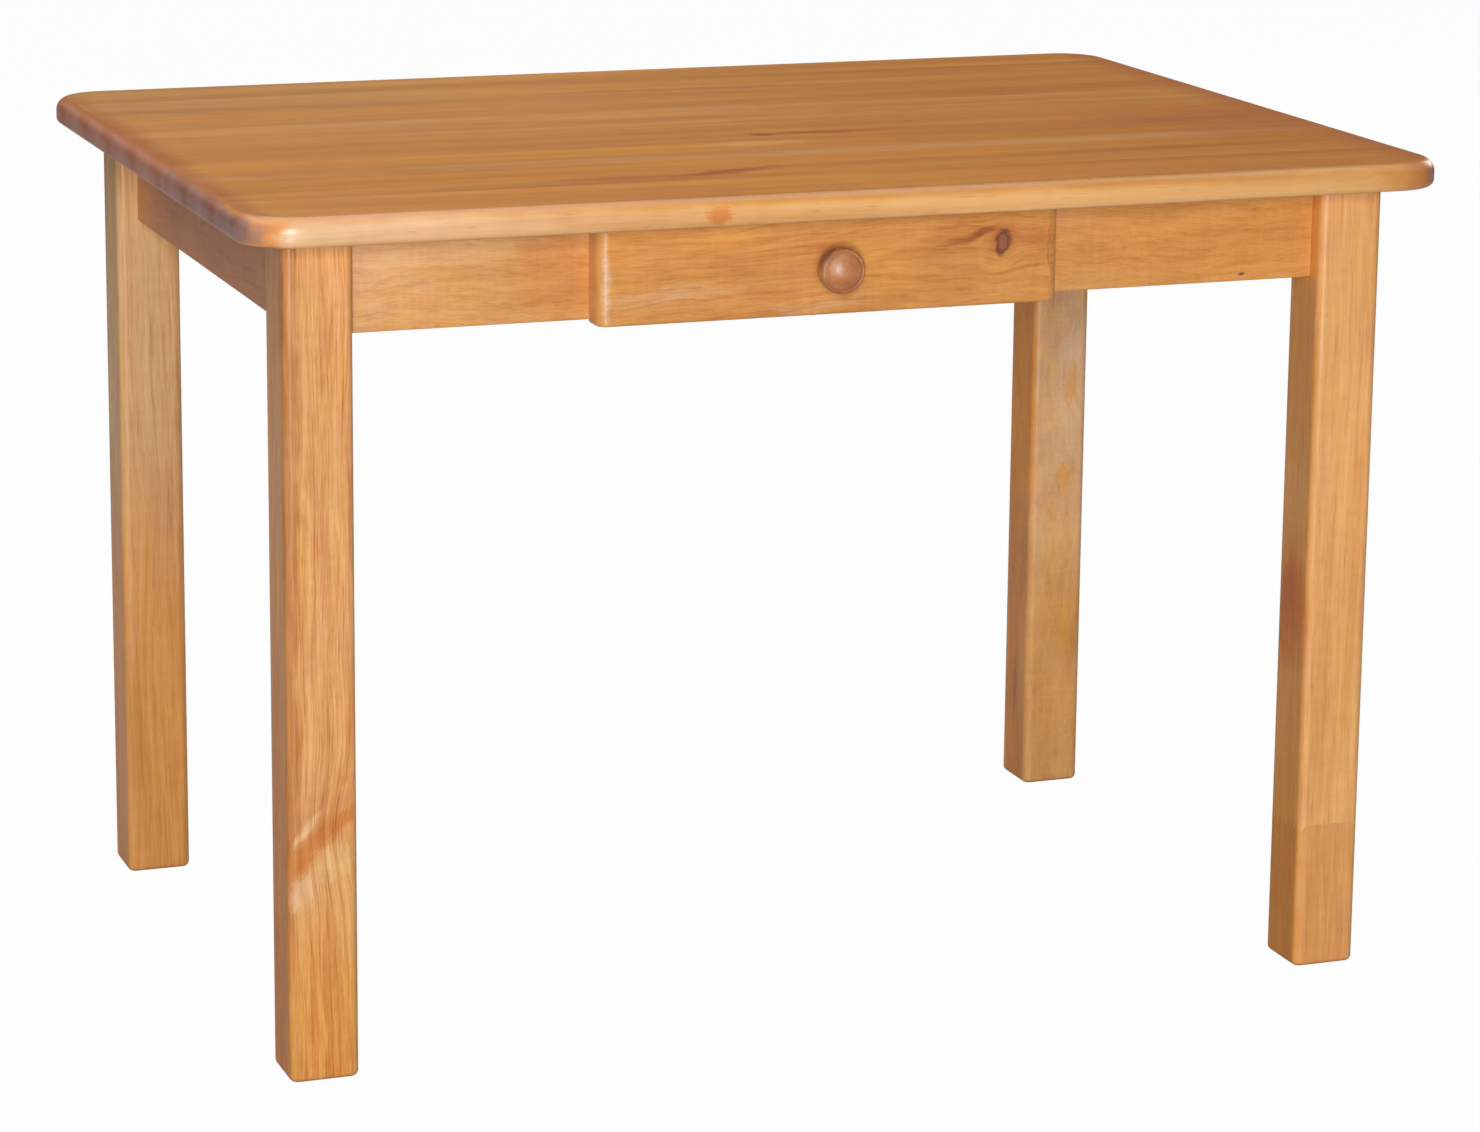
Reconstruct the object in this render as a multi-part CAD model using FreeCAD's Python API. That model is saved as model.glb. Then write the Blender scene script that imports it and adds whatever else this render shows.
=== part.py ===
import FreeCAD, Part
import math
import os

from FreeCAD import Rotation, Vector

# A four-legged pine table with one drawer in its front apron, in millimetres.
# The origin is on the floor at the middle of the table; the drawer opens towards -Y,
# +X runs along the table to its right and +Z is up. It comes apart as a real one
# does: a glued panel, four legs bolted through steel corner plates to four aprons,
# and a drawer box that slides on two L-shaped runners.

# ---------------------------------------------------------------- driving dimensions

table_length = 1100.0
table_width = 785.0

top_thickness = 25.0
top_corner_radius = 50.0
top_upper_edge_radius = 12.0
top_lower_edge_radius = 6.0
stave_count = 8

leg_length = 732.0
leg_width = 61.0
leg_edge_radius = 8.0
leg_foot_radius = 5.0
end_overhang = 42.0
side_overhang = 52.0

apron_height = 86.0
apron_thickness = 20.0
apron_recess = 20.0
apron_edge_radius = 1.5

plate_thickness = 2.0
plate_height = 70.0
plate_wing_length = 32.0
plate_hook_depth = 7.0
leg_flat_width = 16.0
plate_pull_gap = 3.0
plate_hole_spacing = 40.0
plate_screw_inset = 14.0

bolt_diameter = 8.0
bolt_length_in_leg = 45.0
bolt_end_past_nut = 4.0
washer_diameter = 20.0
washer_thickness = 1.6
nut_across_flats = 13.0
nut_height = 6.5

screw_diameter = 4.0
screw_head_diameter = 8.0
screw_point_length = 4.0
plate_screw_length = 16.0
top_screw_bite = 13.0
head_recess_depth = 1.0
head_recess_width = 1.0

button_length = 30.0
button_depth = 26.0
button_height = 18.0
button_tongue_thickness = 8.0
button_tongue_depth = 8.0
button_inset = 110.0

drawer_offset = -24.0
drawer_travel = 300.0
drawer_front_width = 424.0
drawer_front_thickness = 25.0
drawer_front_lap = 22.0
drawer_front_drop = 3.0
drawer_front_end_radius = 10.0
drawer_front_edge_radius = 3.0
drawer_side_length = 420.0
drawer_side_thickness = 12.0
drawer_back_thickness = 12.0
drawer_bottom_thickness = 5.0
drawer_bottom_rise = 8.0
drawer_groove_depth = 6.0

window_bottom_rail = 14.0
window_top_rail = 8.0

runner_ledge_width = 20.0
runner_ledge_thickness = 14.0
runner_guide_width = 14.0
runner_guide_height = 20.0
runner_tenon_length = 8.0
runner_tenon_shoulder = 3.0

kicker_width = 24.0
kicker_screw_count = 4
kicker_screw_inset = 60.0
stop_length = 60.0
stop_width = 20.0
stop_catch = 6.0
stop_screw_spacing = 36.0

dowel_diameter = 6.0
dowel_length = 30.0
dowel_depth_in_front = 12.0
dowel_heights = (24.0, 48.0)
back_screw_length = 32.0
back_screw_heights = (26.0, 48.0)
bottom_screw_length = 16.0
bottom_screw_count = 3
bottom_screw_inset = 40.0

knob_diameter = 40.0
knob_neck_diameter = 22.0
knob_neck_length = 4.0
knob_flare_length = 16.0
knob_shoulder_length = 7.5
knob_groove_diameter = 36.0
knob_groove_width = 2.0
knob_groove_depth = 1.0
knob_dome_height = 7.0
knob_height = 42.0
knob_screw_diameter = 4.0
knob_screw_head_diameter = 8.0
knob_screw_bite = 15.0

# ---------------------------------------------------------------- clearances

bolt_fit = 0.05
bolt_hole_clearance = 0.5
screw_fit = 0.05
kerf_clearance = 0.2
joint_clearance = 0.3
bore_end_clearance = 1.0
drawer_front_gap = 0.5
drawer_top_gap = 2.0
drawer_side_clearance = 2.0
drawer_under_clearance = 1.0
drawer_over_clearance = 2.0
running_clearance = 0.3
kicker_clearance = 1.5
stop_clearance = 0.5
panel_clearance = 0.5
groove_clearance = 0.1

# ---------------------------------------------------------------- derived places

half_length = table_length / 2
half_width = table_width / 2
table_height = leg_length + top_thickness
leg_line_x = half_length - end_overhang
leg_line_y = half_width - side_overhang

apron_bottom = leg_length - apron_height
apron_inside = apron_recess + apron_thickness
front_face_distance = leg_line_y - apron_recess
side_face_distance = leg_line_x - apron_recess
long_apron_length = 2 * (leg_line_x - leg_width)
short_apron_length = 2 * (leg_line_y - leg_width)

window_bottom = apron_bottom + window_bottom_rail
window_top = leg_length - window_top_rail
box_bottom = window_bottom + drawer_under_clearance
box_top = window_top - drawer_over_clearance
box_half_width = drawer_front_width / 2 - drawer_front_lap
box_front = -front_face_distance - drawer_front_gap
box_back = box_front + drawer_side_length
drawer_face = box_front - drawer_front_thickness
drawer_front_bottom = apron_bottom - drawer_front_drop
bottom_panel_low = box_bottom + drawer_bottom_rise
bottom_panel_high = bottom_panel_low + drawer_bottom_thickness
inner_half_width = box_half_width - drawer_side_thickness

OVERSHOOT = 1.0


# ---------------------------------------------------------------- shape helpers

def block(x, y, z):
    """Block between a pair of limits along each axis."""
    corner = Vector(x[0], y[0], z[0])
    return Part.makeBox(x[1] - x[0], y[1] - y[0], z[1] - z[0], corner)


def prism(outline, low, high):
    """Upright prism over a closed outline of X, Y points."""
    points = [Vector(x, y, low) for x, y in outline]
    face = Part.Face(Part.makePolygon(points + points[:1]))
    return face.extrude(Vector(0, 0, high - low))


def turned(profile):
    """Solid turned about Z from radius, height points that start and end on the axis."""
    points = [Vector(radius, 0, height) for radius, height in profile]
    face = Part.Face(Part.makePolygon(points + points[:1]))
    return face.revolve(Vector(0, 0, 0), Vector(0, 0, 1), 360)


def pointed(shape, place, direction):
    """Copy of a shape made along +Z, turned to a direction and set at a place."""
    copy = shape.copy()
    copy.Placement = FreeCAD.Placement(place, Rotation(Vector(0, 0, 1), direction))
    return copy


def edges_at_height(shape, height):
    """Edges that lie flat at one height."""
    def is_there(edge):
        bounds = edge.BoundBox
        return abs(bounds.ZMin - height) < 1e-4 and abs(bounds.ZMax - height) < 1e-4
    return [edge for edge in shape.Edges if is_there(edge)]


def upright_edges(shape):
    """Straight edges parallel to Z."""
    def is_upright(edge):
        bounds = edge.BoundBox
        return bounds.XLength < 1e-4 and bounds.YLength < 1e-4
    return [edge for edge in shape.Edges if is_upright(edge)]


def cut_all(shape, cutters):
    """Shape less a list of cutters."""
    return shape.cut(Part.makeCompound(cutters)) if cutters else shape


def save(name, shapes):
    """Write one sub-part, which holds one solid or a group of equal ones."""
    solids = [solid for shape in shapes for solid in shape.Solids]
    whole = solids[0] if len(solids) == 1 else Part.makeCompound(solids)
    whole.exportStep(os.path.join("parts", name + ".step"))


# ---------------------------------------------------------------- fasteners

def countersunk_screw(length, growth=0.0):
    """Wood screw along +Z with its flat head at the origin; growth makes its bore."""
    head = screw_head_diameter / 2 + growth
    shank = screw_diameter / 2 + growth
    cone_end = head - shank
    tip = length + (bore_end_clearance if growth else 0.0)
    shape = turned([(0, 0), (head, 0), (shank, cone_end), (shank, tip - screw_point_length), (0, tip)])
    return shape if growth else shape.cut(cross_recess(0))


def round_head_screw(length, diameter, head_diameter, growth=0.0):
    """Screw along +Z whose round head stands below the origin; growth makes its bore."""
    shank = diameter / 2
    if growth:
        return Part.makeCylinder(shank + growth, length + bore_end_clearance)
    head = head_diameter / 2
    head_height = head * 0.6
    outline = [(0, -head_height), (head * 0.6, -head_height), (head * 0.9, -head_height * 0.6),
               (head, 0), (shank, 0), (shank, length - diameter), (0, length)]
    return turned(outline).cut(cross_recess(-head_height))


def cross_recess(height):
    """Cross-shaped driver recess in a screw head whose outer face is at a height."""
    reach = screw_diameter / 2
    arm = head_recess_width / 2
    depth = (height - OVERSHOOT, height + head_recess_depth)
    along = block((-reach, reach), (-arm, arm), depth)
    across = block((-arm, arm), (-reach, reach), depth)
    return along.fuse(across)


def washer(diameter, bore, thickness):
    """Flat ring along +Z from the origin."""
    return Part.makeCylinder(diameter / 2, thickness).cut(Part.makeCylinder(bore / 2, thickness))


def hexagon_nut(across_flats, bore, height):
    """Hexagonal nut along +Z from the origin."""
    corner = across_flats / math.sqrt(3)
    outline = [(corner * math.cos(math.radians(60 * i)), corner * math.sin(math.radians(60 * i)))
               for i in range(6)]
    return prism(outline, 0, height).cut(Part.makeCylinder(bore / 2, height))


# ---------------------------------------------------------------- the four corners

# Corner coordinates start at the outer upright corner of the front left leg, with +X and
# +Y pointing inwards. A corner is placed on the other legs by mirroring it.

corners = {"front_left": (-1, -1), "front_right": (1, -1), "back_left": (-1, 1), "back_right": (1, 1)}

leg_flat_line = 2 * leg_width - leg_flat_width / math.sqrt(2)
plate_line = leg_flat_line + plate_pull_gap * math.sqrt(2)
wing_start = plate_line - apron_inside
wing_end = wing_start + plate_wing_length
plate_middle = leg_length - apron_height / 2
plate_bottom = plate_middle - plate_height / 2
plate_top = plate_middle + plate_height / 2
bolt_heights = (plate_middle - plate_hole_spacing / 2, plate_middle + plate_hole_spacing / 2)
diagonal = Vector(1, 1, 0).normalize()


def to_corner(shape, side_x, side_y):
    """Copy of a shape from corner coordinates, placed at one of the four legs."""
    copy = shape.copy()
    copy.translate(Vector(-leg_line_x, -leg_line_y, 0))
    if side_x > 0:
        copy = copy.mirror(Vector(0, 0, 0), Vector(1, 0, 0))
    if side_y > 0:
        copy = copy.mirror(Vector(0, 0, 0), Vector(0, 1, 0))
    return copy


def at_corners(shapes):
    """Copies of shapes in corner coordinates at all four legs."""
    return [to_corner(shape, *sides) for sides in corners.values() for shape in shapes]


def along_diagonal(shape, distance):
    """Copies of a shape at both bolt heights, a distance inwards of the leg's flat."""
    line = leg_flat_line / 2
    starts = [Vector(line, line, height) + diagonal * distance for height in bolt_heights]
    return [pointed(shape, start, diagonal) for start in starts]


def leg():
    """Square post with rounded edges and foot, and a flat for its bolts inside the frame."""
    post = block((0, leg_width), (0, leg_width), (0, leg_length))
    post = post.makeFillet(leg_edge_radius, upright_edges(post))
    foot_radius = min(leg_foot_radius, leg_edge_radius * 0.9)
    post = post.makeFillet(foot_radius, edges_at_height(post, 0))
    far = leg_width + OVERSHOOT
    near = leg_flat_line - far
    flat = prism([(far, near), (far, far), (near, far)], apron_bottom, leg_length + OVERSHOOT)
    depth = bolt_length_in_leg + bore_end_clearance
    bore = Part.makeCylinder(bolt_diameter / 2 + bolt_fit, depth + OVERSHOOT)
    return cut_all(post, [flat] + along_diagonal(bore, -depth))


def hanger_bolt():
    """Bolt along +Z, pointed at the leg's end, from the leg's flat at the origin."""
    radius = bolt_diameter / 2
    room_end = plate_pull_gap + plate_thickness + washer_thickness + nut_height + bolt_end_past_nut
    start = -bolt_length_in_leg
    return turned([(0, start), (radius, start + bolt_diameter), (radius, room_end - 1),
                   (radius - 1, room_end), (0, room_end)])


def wing_screws(shape, distance):
    """Copies of a screw at both wings and both bolt heights, a distance off the aprons."""
    along = wing_start + plate_screw_inset
    off = apron_inside + distance
    copies = []
    for height in bolt_heights:
        copies.append(pointed(shape, Vector(along, off, height), Vector(0, -1, 0)))
        copies.append(pointed(shape, Vector(off, along, height), Vector(-1, 0, 0)))
    return copies


def corner_plate():
    """Bent strip across the corner whose hooked wings lie on both aprons."""
    mitre = plate_thickness * math.tan(math.radians(22.5))
    hook = apron_inside - plate_hook_depth
    inner = apron_inside + plate_thickness
    hook_start = wing_end - plate_thickness
    half = [(wing_start, apron_inside), (hook_start, apron_inside), (hook_start, hook),
            (wing_end, hook), (wing_end, inner), (wing_start + mitre, inner)]
    other_half = [(y, x) for x, y in reversed(half)]
    strip = prism(half + other_half, plate_bottom, plate_top)
    bolt_hole = Part.makeCylinder(bolt_diameter / 2 + bolt_hole_clearance, plate_thickness + 2 * OVERSHOOT)
    screw_hole = Part.makeCylinder(screw_diameter / 2 + screw_fit, plate_thickness + 2 * OVERSHOOT)
    holes = along_diagonal(bolt_hole, plate_pull_gap - OVERSHOOT)
    return cut_all(strip, holes + wing_screws(screw_hole, plate_thickness + OVERSHOOT))


def kerfs():
    """Saw cuts that take the plate's two hooks, over the whole height of the aprons."""
    deep = apron_inside - plate_hook_depth - joint_clearance
    across = (wing_end - plate_thickness - kerf_clearance, wing_end + kerf_clearance)
    height = (apron_bottom - OVERSHOOT, leg_length + OVERSHOOT)
    into = (deep, apron_inside + OVERSHOOT)
    return [block(across, into, height), block(into, across, height)]


plate_screw = round_head_screw(plate_screw_length, screw_diameter, screw_head_diameter)
plate_screw_bore = round_head_screw(plate_screw_length, screw_diameter, screw_head_diameter, screw_fit)
washer_start = plate_pull_gap + plate_thickness
nut_start = washer_start + washer_thickness


# ---------------------------------------------------------------- the four aprons

# Apron coordinates start at the outer face of an apron, with +X along it and +Y inwards.
# Each apron has an angle about Z, a distance from the middle, a length and its buttons.

long_button_place = long_apron_length / 2 - button_inset
short_button_place = short_apron_length / 2 - button_inset
aprons = {
    "front": (0, front_face_distance, long_apron_length, (-long_button_place, long_button_place)),
    "right": (90, side_face_distance, short_apron_length, (-short_button_place, short_button_place)),
    "back": (180, front_face_distance, long_apron_length, (-long_button_place, 0, long_button_place)),
    "left": (270, side_face_distance, short_apron_length, (-short_button_place, short_button_place)),
}


def on_side(shape, angle, distance):
    """Copy of a shape from apron coordinates, placed on one side of the table."""
    copy = shape.copy()
    copy.translate(Vector(0, -distance, 0))
    copy.rotate(Vector(0, 0, 0), Vector(0, 0, 1), angle)
    return copy


def apron_board(length):
    """Plain board with its two lower edges eased."""
    board = block((-length / 2, length / 2), (0, apron_thickness), (apron_bottom, leg_length))
    low_edges = [edge for edge in edges_at_height(board, apron_bottom) if edge.BoundBox.YLength < 1e-4]
    return board.makeFillet(apron_edge_radius, low_edges)


def button_mortise(place):
    """Pocket in an apron's inner face for one button's tongue."""
    half = button_length / 2 + joint_clearance
    deep = apron_thickness - button_tongue_depth - joint_clearance
    low = leg_length - button_height
    high = low + button_tongue_thickness
    return block((place - half, place + half), (deep, apron_thickness + OVERSHOOT),
                 (low - joint_clearance, high + joint_clearance))


def top_button(place):
    """Wooden block screwed under the top, with a tongue in the apron's pocket."""
    half = button_length / 2
    inner = apron_thickness + joint_clearance
    low = leg_length - button_height
    body = block((place - half, place + half), (inner, inner + button_depth), (low, leg_length))
    tongue = block((place - half, place + half), (apron_thickness - button_tongue_depth, inner + OVERSHOOT),
                   (low, low + button_tongue_thickness))
    return body.fuse(tongue).removeSplitter().cut(button_screw_at(place, screw_fit))


def button_screw_at(place, growth=0.0):
    """Screw up through a button into the top."""
    middle = apron_thickness + joint_clearance + button_depth / 2
    screw = countersunk_screw(button_height + top_screw_bite, growth)
    return pointed(screw, Vector(place, middle, leg_length - button_height), Vector(0, 0, 1))


def for_buttons(make):
    """What make gives for each button's place, on the side where that button is."""
    return [on_side(make(place), angle, distance)
            for angle, distance, length, places in aprons.values() for place in places]


# ---------------------------------------------------------------- drawer guides

guide_end = front_face_distance - apron_thickness
runner_top = box_bottom - running_clearance
runner_bottom = runner_top - runner_ledge_thickness
guide_face = box_half_width + drawer_side_clearance
ledge_edge = box_half_width - runner_ledge_width
runner_outside = guide_face + runner_guide_width
kicker_bottom = box_top + kicker_clearance
kicker_middle = box_half_width - drawer_side_thickness / 2


def across_pair(low, high, side):
    """Limits along X of a piece on one side of the drawer's middle line."""
    return tuple(sorted((drawer_offset + side * low, drawer_offset + side * high)))


def runner_tenons(side, growth=0.0):
    """Stub tenons at both ends of a runner; growth makes their mortises."""
    inset = runner_tenon_shoulder
    across = across_pair(ledge_edge + inset - growth, runner_outside - inset + growth, side)
    height = (runner_bottom + inset - growth, runner_top - inset + growth)
    reach = runner_tenon_length + growth
    front = block(across, (-guide_end - reach, -guide_end + OVERSHOOT), height)
    back = block(across, (guide_end - OVERSHOOT, guide_end + reach), height)
    return [front, back]


def drawer_runner(side):
    """L-shaped rail: a ledge under the drawer's side and a guide beside it."""
    length = (-guide_end, guide_end)
    ledge = block(across_pair(ledge_edge, runner_outside, side), length, (runner_bottom, runner_top))
    guide = block(across_pair(guide_face, runner_outside, side), length,
                  (runner_bottom, runner_top + runner_guide_height))
    return ledge.multiFuse([guide] + runner_tenons(side)).removeSplitter()


def kicker_screws(side, growth=0.0):
    """Screws up through a kicker into the top."""
    x = drawer_offset + side * kicker_middle
    span = guide_end - kicker_screw_inset
    step = 2 * span / (kicker_screw_count - 1)
    screw = countersunk_screw(leg_length - kicker_bottom + top_screw_bite, growth)
    places = [Vector(x, -span + step * i, kicker_bottom) for i in range(kicker_screw_count)]
    return [pointed(screw, place, Vector(0, 0, 1)) for place in places]


def drawer_kicker(side):
    """Strip under the top that keeps the open drawer from tipping."""
    half = kicker_width / 2
    strip = block(across_pair(kicker_middle - half, kicker_middle + half, side),
                  (-guide_end, guide_end), (kicker_bottom, leg_length))
    return cut_all(strip, kicker_screws(side, screw_fit))


stop_bottom = box_top - stop_catch
stop_back = box_back - drawer_back_thickness - drawer_travel - stop_clearance


def stop_screws(growth=0.0):
    """Screws up through the stop block into the top."""
    screw = countersunk_screw(leg_length - stop_bottom + top_screw_bite, growth)
    middle = stop_back - stop_width / 2
    places = [Vector(drawer_offset + side * stop_screw_spacing / 2, middle, stop_bottom) for side in (-1, 1)]
    return [pointed(screw, place, Vector(0, 0, 1)) for place in places]


def drawer_stop():
    """Block under the top that catches the drawer's back at full travel."""
    half = stop_length / 2
    body = block((drawer_offset - half, drawer_offset + half),
                 (stop_back - stop_width, stop_back), (stop_bottom, leg_length))
    return cut_all(body, stop_screws(screw_fit))


# ---------------------------------------------------------------- the drawer

def bottom_panel_space(reach, lift, end):
    """Space of the bottom panel that reaches into the boards round it, up to an end in Y."""
    half = inner_half_width + reach
    return block((drawer_offset - half, drawer_offset + half), (box_front - reach, end),
                 (bottom_panel_low - lift, bottom_panel_high + lift))


bottom_panel = bottom_panel_space(drawer_groove_depth - panel_clearance, 0.0, box_back)
panel_groove = bottom_panel_space(drawer_groove_depth, groove_clearance, box_back + OVERSHOOT)


def side_dowels(growth=0.0):
    """Dowels from the drawer's front into the ends of its sides; growth makes bores."""
    radius = dowel_diameter / 2 + growth
    start = box_front + dowel_length - dowel_depth_in_front
    ends = bore_end_clearance if growth else 0.0
    dowel = Part.makeCylinder(radius, dowel_length + 2 * ends)
    x = box_half_width - drawer_side_thickness / 2
    places = [Vector(drawer_offset + side * x, start + ends, box_bottom + height)
              for side in (-1, 1) for height in dowel_heights]
    return [pointed(dowel, place, Vector(0, -1, 0)) for place in places]


def knob_screw(growth=0.0):
    """Screw from inside the drawer through its front into the knob."""
    length = drawer_front_thickness + knob_screw_bite
    screw = round_head_screw(length, knob_screw_diameter, knob_screw_head_diameter, growth)
    return pointed(screw, Vector(drawer_offset, box_front, knob_centre), Vector(0, -1, 0))


knob_centre = drawer_front_bottom + knob_height


def drawer_front():
    """Thick board with rounded ends that covers the window in the apron."""
    half = drawer_front_width / 2
    board = block((drawer_offset - half, drawer_offset + half), (drawer_face, box_front),
                  (drawer_front_bottom, leg_length - drawer_top_gap))
    end_edges = [edge for edge in upright_edges(board) if edge.BoundBox.YMax < drawer_face + 1e-3]
    board = board.makeFillet(drawer_front_end_radius, end_edges)
    rims = edges_at_height(board, drawer_front_bottom) + edges_at_height(board, leg_length - drawer_top_gap)
    rims = [edge for edge in rims if edge.BoundBox.YMin < box_front - 1e-3]
    board = board.makeFillet(drawer_front_edge_radius, rims)
    return cut_all(board, [panel_groove, knob_screw(screw_fit)] + side_dowels(screw_fit))


def back_screws(side, growth=0.0):
    """Screws through one drawer side into the end of the back."""
    screw = countersunk_screw(back_screw_length, growth)
    x = drawer_offset + side * box_half_width
    y = box_back - drawer_back_thickness / 2
    places = [Vector(x, y, box_bottom + height) for height in back_screw_heights]
    return [pointed(screw, place, Vector(-side, 0, 0)) for place in places]


def drawer_side(side):
    """Side board with a groove for the bottom panel."""
    board = block(across_pair(inner_half_width, box_half_width, side),
                  (box_front, box_back), (box_bottom, box_top))
    return cut_all(board, [panel_groove] + side_dowels(screw_fit) + back_screws(side, screw_fit))


def bottom_screws(growth=0.0):
    """Screws up through the bottom panel into the lower edge of the back."""
    screw = round_head_screw(bottom_screw_length, screw_diameter, screw_head_diameter, growth)
    span = inner_half_width - bottom_screw_inset
    step = 2 * span / (bottom_screw_count - 1)
    y = box_back - drawer_back_thickness / 2
    places = [Vector(drawer_offset - span + step * i, y, bottom_panel_low) for i in range(bottom_screw_count)]
    return [pointed(screw, place, Vector(0, 0, 1)) for place in places]


def drawer_back():
    """Back board that stands on the bottom panel between the sides."""
    board = block((drawer_offset - inner_half_width, drawer_offset + inner_half_width),
                  (box_back - drawer_back_thickness, box_back), (bottom_panel_high, box_top))
    bores = back_screws(-1, screw_fit) + back_screws(1, screw_fit) + bottom_screws(screw_fit)
    return cut_all(board, bores)


def straight(start, end):
    """Line between two radius, height points."""
    return Part.makeLine(Vector(start[0], 0, start[1]), Vector(end[0], 0, end[1]))


def bend(start, corner, end):
    """Smooth curve between two radius, height points, tangent to the corner between them."""
    curve = Part.BezierCurve()
    curve.setPoles([Vector(radius, 0, height) for radius, height in (start, corner, end)])
    return curve.toShape()


def knob():
    """Turned knob: a neck that flares out, a round shoulder, a ring groove and a full dome."""
    radius = knob_diameter / 2
    neck = knob_neck_diameter / 2
    widest = knob_neck_length + knob_flare_length
    shoulder = widest + knob_shoulder_length
    top = shoulder + knob_dome_height
    flare = ((neck + radius) / 2, (knob_neck_length + widest) / 2)
    groove_out = knob_groove_diameter / 2
    groove_in = groove_out - knob_groove_width
    groove_middle = groove_out - knob_groove_width / 2
    groove_corner = (groove_middle, shoulder - 2 * knob_groove_depth)
    dome_corner = (max(groove_in - knob_dome_height, groove_in / 2), top)
    edges = [
        straight((0, 0), (neck, 0)),
        straight((neck, 0), (neck, knob_neck_length)),
        bend((neck, knob_neck_length), (neck, flare[1]), flare),
        bend(flare, (radius, flare[1]), (radius, widest)),
        bend((radius, widest), (radius, shoulder), (groove_out, shoulder)),
        bend((groove_out, shoulder), groove_corner, (groove_in, shoulder)),
        bend((groove_in, shoulder), dome_corner, (0, top)),
        straight((0, top), (0, 0)),
    ]
    body = Part.Face(Part.Wire(edges)).revolve(Vector(0, 0, 0), Vector(0, 0, 1), 360)
    placed = pointed(body, Vector(drawer_offset, drawer_face, knob_centre), Vector(0, -1, 0))
    return placed.cut(knob_screw(screw_fit))


# ---------------------------------------------------------------- the top

def top_staves():
    """Rounded panel, bored from below for every screw, ripped into its glued staves."""
    panel = block((-half_length, half_length), (-half_width, half_width), (leg_length, table_height))
    panel = panel.makeFillet(top_corner_radius, upright_edges(panel))
    panel = panel.makeFillet(top_upper_edge_radius, edges_at_height(panel, table_height))
    panel = panel.makeFillet(top_lower_edge_radius, edges_at_height(panel, leg_length))
    bores = for_buttons(lambda place: button_screw_at(place, screw_fit))
    bores += kicker_screws(-1, screw_fit) + kicker_screws(1, screw_fit) + stop_screws(screw_fit)
    panel = cut_all(panel, bores)
    stave_width = table_width / stave_count
    staves = []
    for i in range(stave_count):
        low = -half_width + i * stave_width
        strip = block((-half_length, half_length), (low, low + stave_width), (leg_length, table_height))
        staves.append(panel.common(strip))
    return staves


# ---------------------------------------------------------------- writing the parts

os.makedirs("parts", exist_ok=True)

for number, stave in enumerate(top_staves(), start=1):
    save("top_stave_%d" % number, [stave])

for corner, sides in corners.items():
    save("leg_" + corner, [to_corner(leg(), *sides)])
    save("corner_plate_" + corner, [to_corner(corner_plate(), *sides)])

save("hanger_bolts", at_corners(along_diagonal(hanger_bolt(), 0)))
save("plate_washers", at_corners(along_diagonal(
    washer(washer_diameter, bolt_diameter + bolt_hole_clearance, washer_thickness), washer_start)))
save("hex_nuts", at_corners(along_diagonal(
    hexagon_nut(nut_across_flats, bolt_diameter + 2 * bolt_fit, nut_height), nut_start)))
save("plate_screws", at_corners(wing_screws(plate_screw, plate_thickness)))

mortises = for_buttons(button_mortise) + [
    mortise for side in (-1, 1) for mortise in runner_tenons(side, joint_clearance)]
apron_cutters = mortises + at_corners(kerfs()) + at_corners(wing_screws(plate_screw_bore, plate_thickness))
window = block((drawer_offset - guide_face, drawer_offset + guide_face),
               (-front_face_distance - OVERSHOOT, -guide_end + OVERSHOOT), (window_bottom, window_top))

for side_name, (angle, distance, length, places) in aprons.items():
    board = cut_all(on_side(apron_board(length), angle, distance), apron_cutters)
    save("apron_" + side_name, [board.cut(window)])

save("top_buttons", for_buttons(top_button))
save("button_screws", for_buttons(button_screw_at))

for side_name, side in (("left", -1), ("right", 1)):
    save("drawer_runner_" + side_name, [drawer_runner(side)])
    save("drawer_kicker_" + side_name, [drawer_kicker(side)])
    save("drawer_side_" + side_name, [drawer_side(side)])

save("kicker_screws", kicker_screws(-1) + kicker_screws(1))
save("drawer_stop", [drawer_stop()])
save("stop_screws", stop_screws())

save("drawer_front", [drawer_front()])
save("drawer_back", [drawer_back()])
save("drawer_bottom", [cut_all(bottom_panel, bottom_screws(screw_fit))])
save("drawer_dowels", side_dowels())
save("drawer_back_screws", back_screws(-1) + back_screws(1))
save("drawer_bottom_screws", bottom_screws())
save("knob", [knob()])
save("knob_screw", [knob_screw()])
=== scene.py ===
import math

import bpy
from mathutils import Matrix, Vector


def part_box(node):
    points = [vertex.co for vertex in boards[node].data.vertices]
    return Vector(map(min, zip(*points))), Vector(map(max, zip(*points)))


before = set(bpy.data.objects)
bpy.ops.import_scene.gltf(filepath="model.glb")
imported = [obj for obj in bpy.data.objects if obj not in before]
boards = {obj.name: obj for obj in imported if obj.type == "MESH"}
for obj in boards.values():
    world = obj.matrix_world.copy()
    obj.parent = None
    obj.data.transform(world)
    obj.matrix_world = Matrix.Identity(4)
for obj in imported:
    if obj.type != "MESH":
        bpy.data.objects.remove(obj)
bpy.context.view_layer.update()

# ---------------------------------------------------------------- viewpoint
# A standing viewer four metres off, to the left of the drawer, looks down on the top
# through a long lens. The lens is shifted down a little, which keeps the legs upright.

viewer_place = Vector((-1.4308, -3.9130, 1.3733))
viewer_heading = math.radians(20.353)
viewer_tilt = math.radians(12.104)
viewer_roll = math.radians(0.574)
sensor_width = 36.0
lens_length = 110.44
lens_shift = -0.1
seen_range = 100.0

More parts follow.
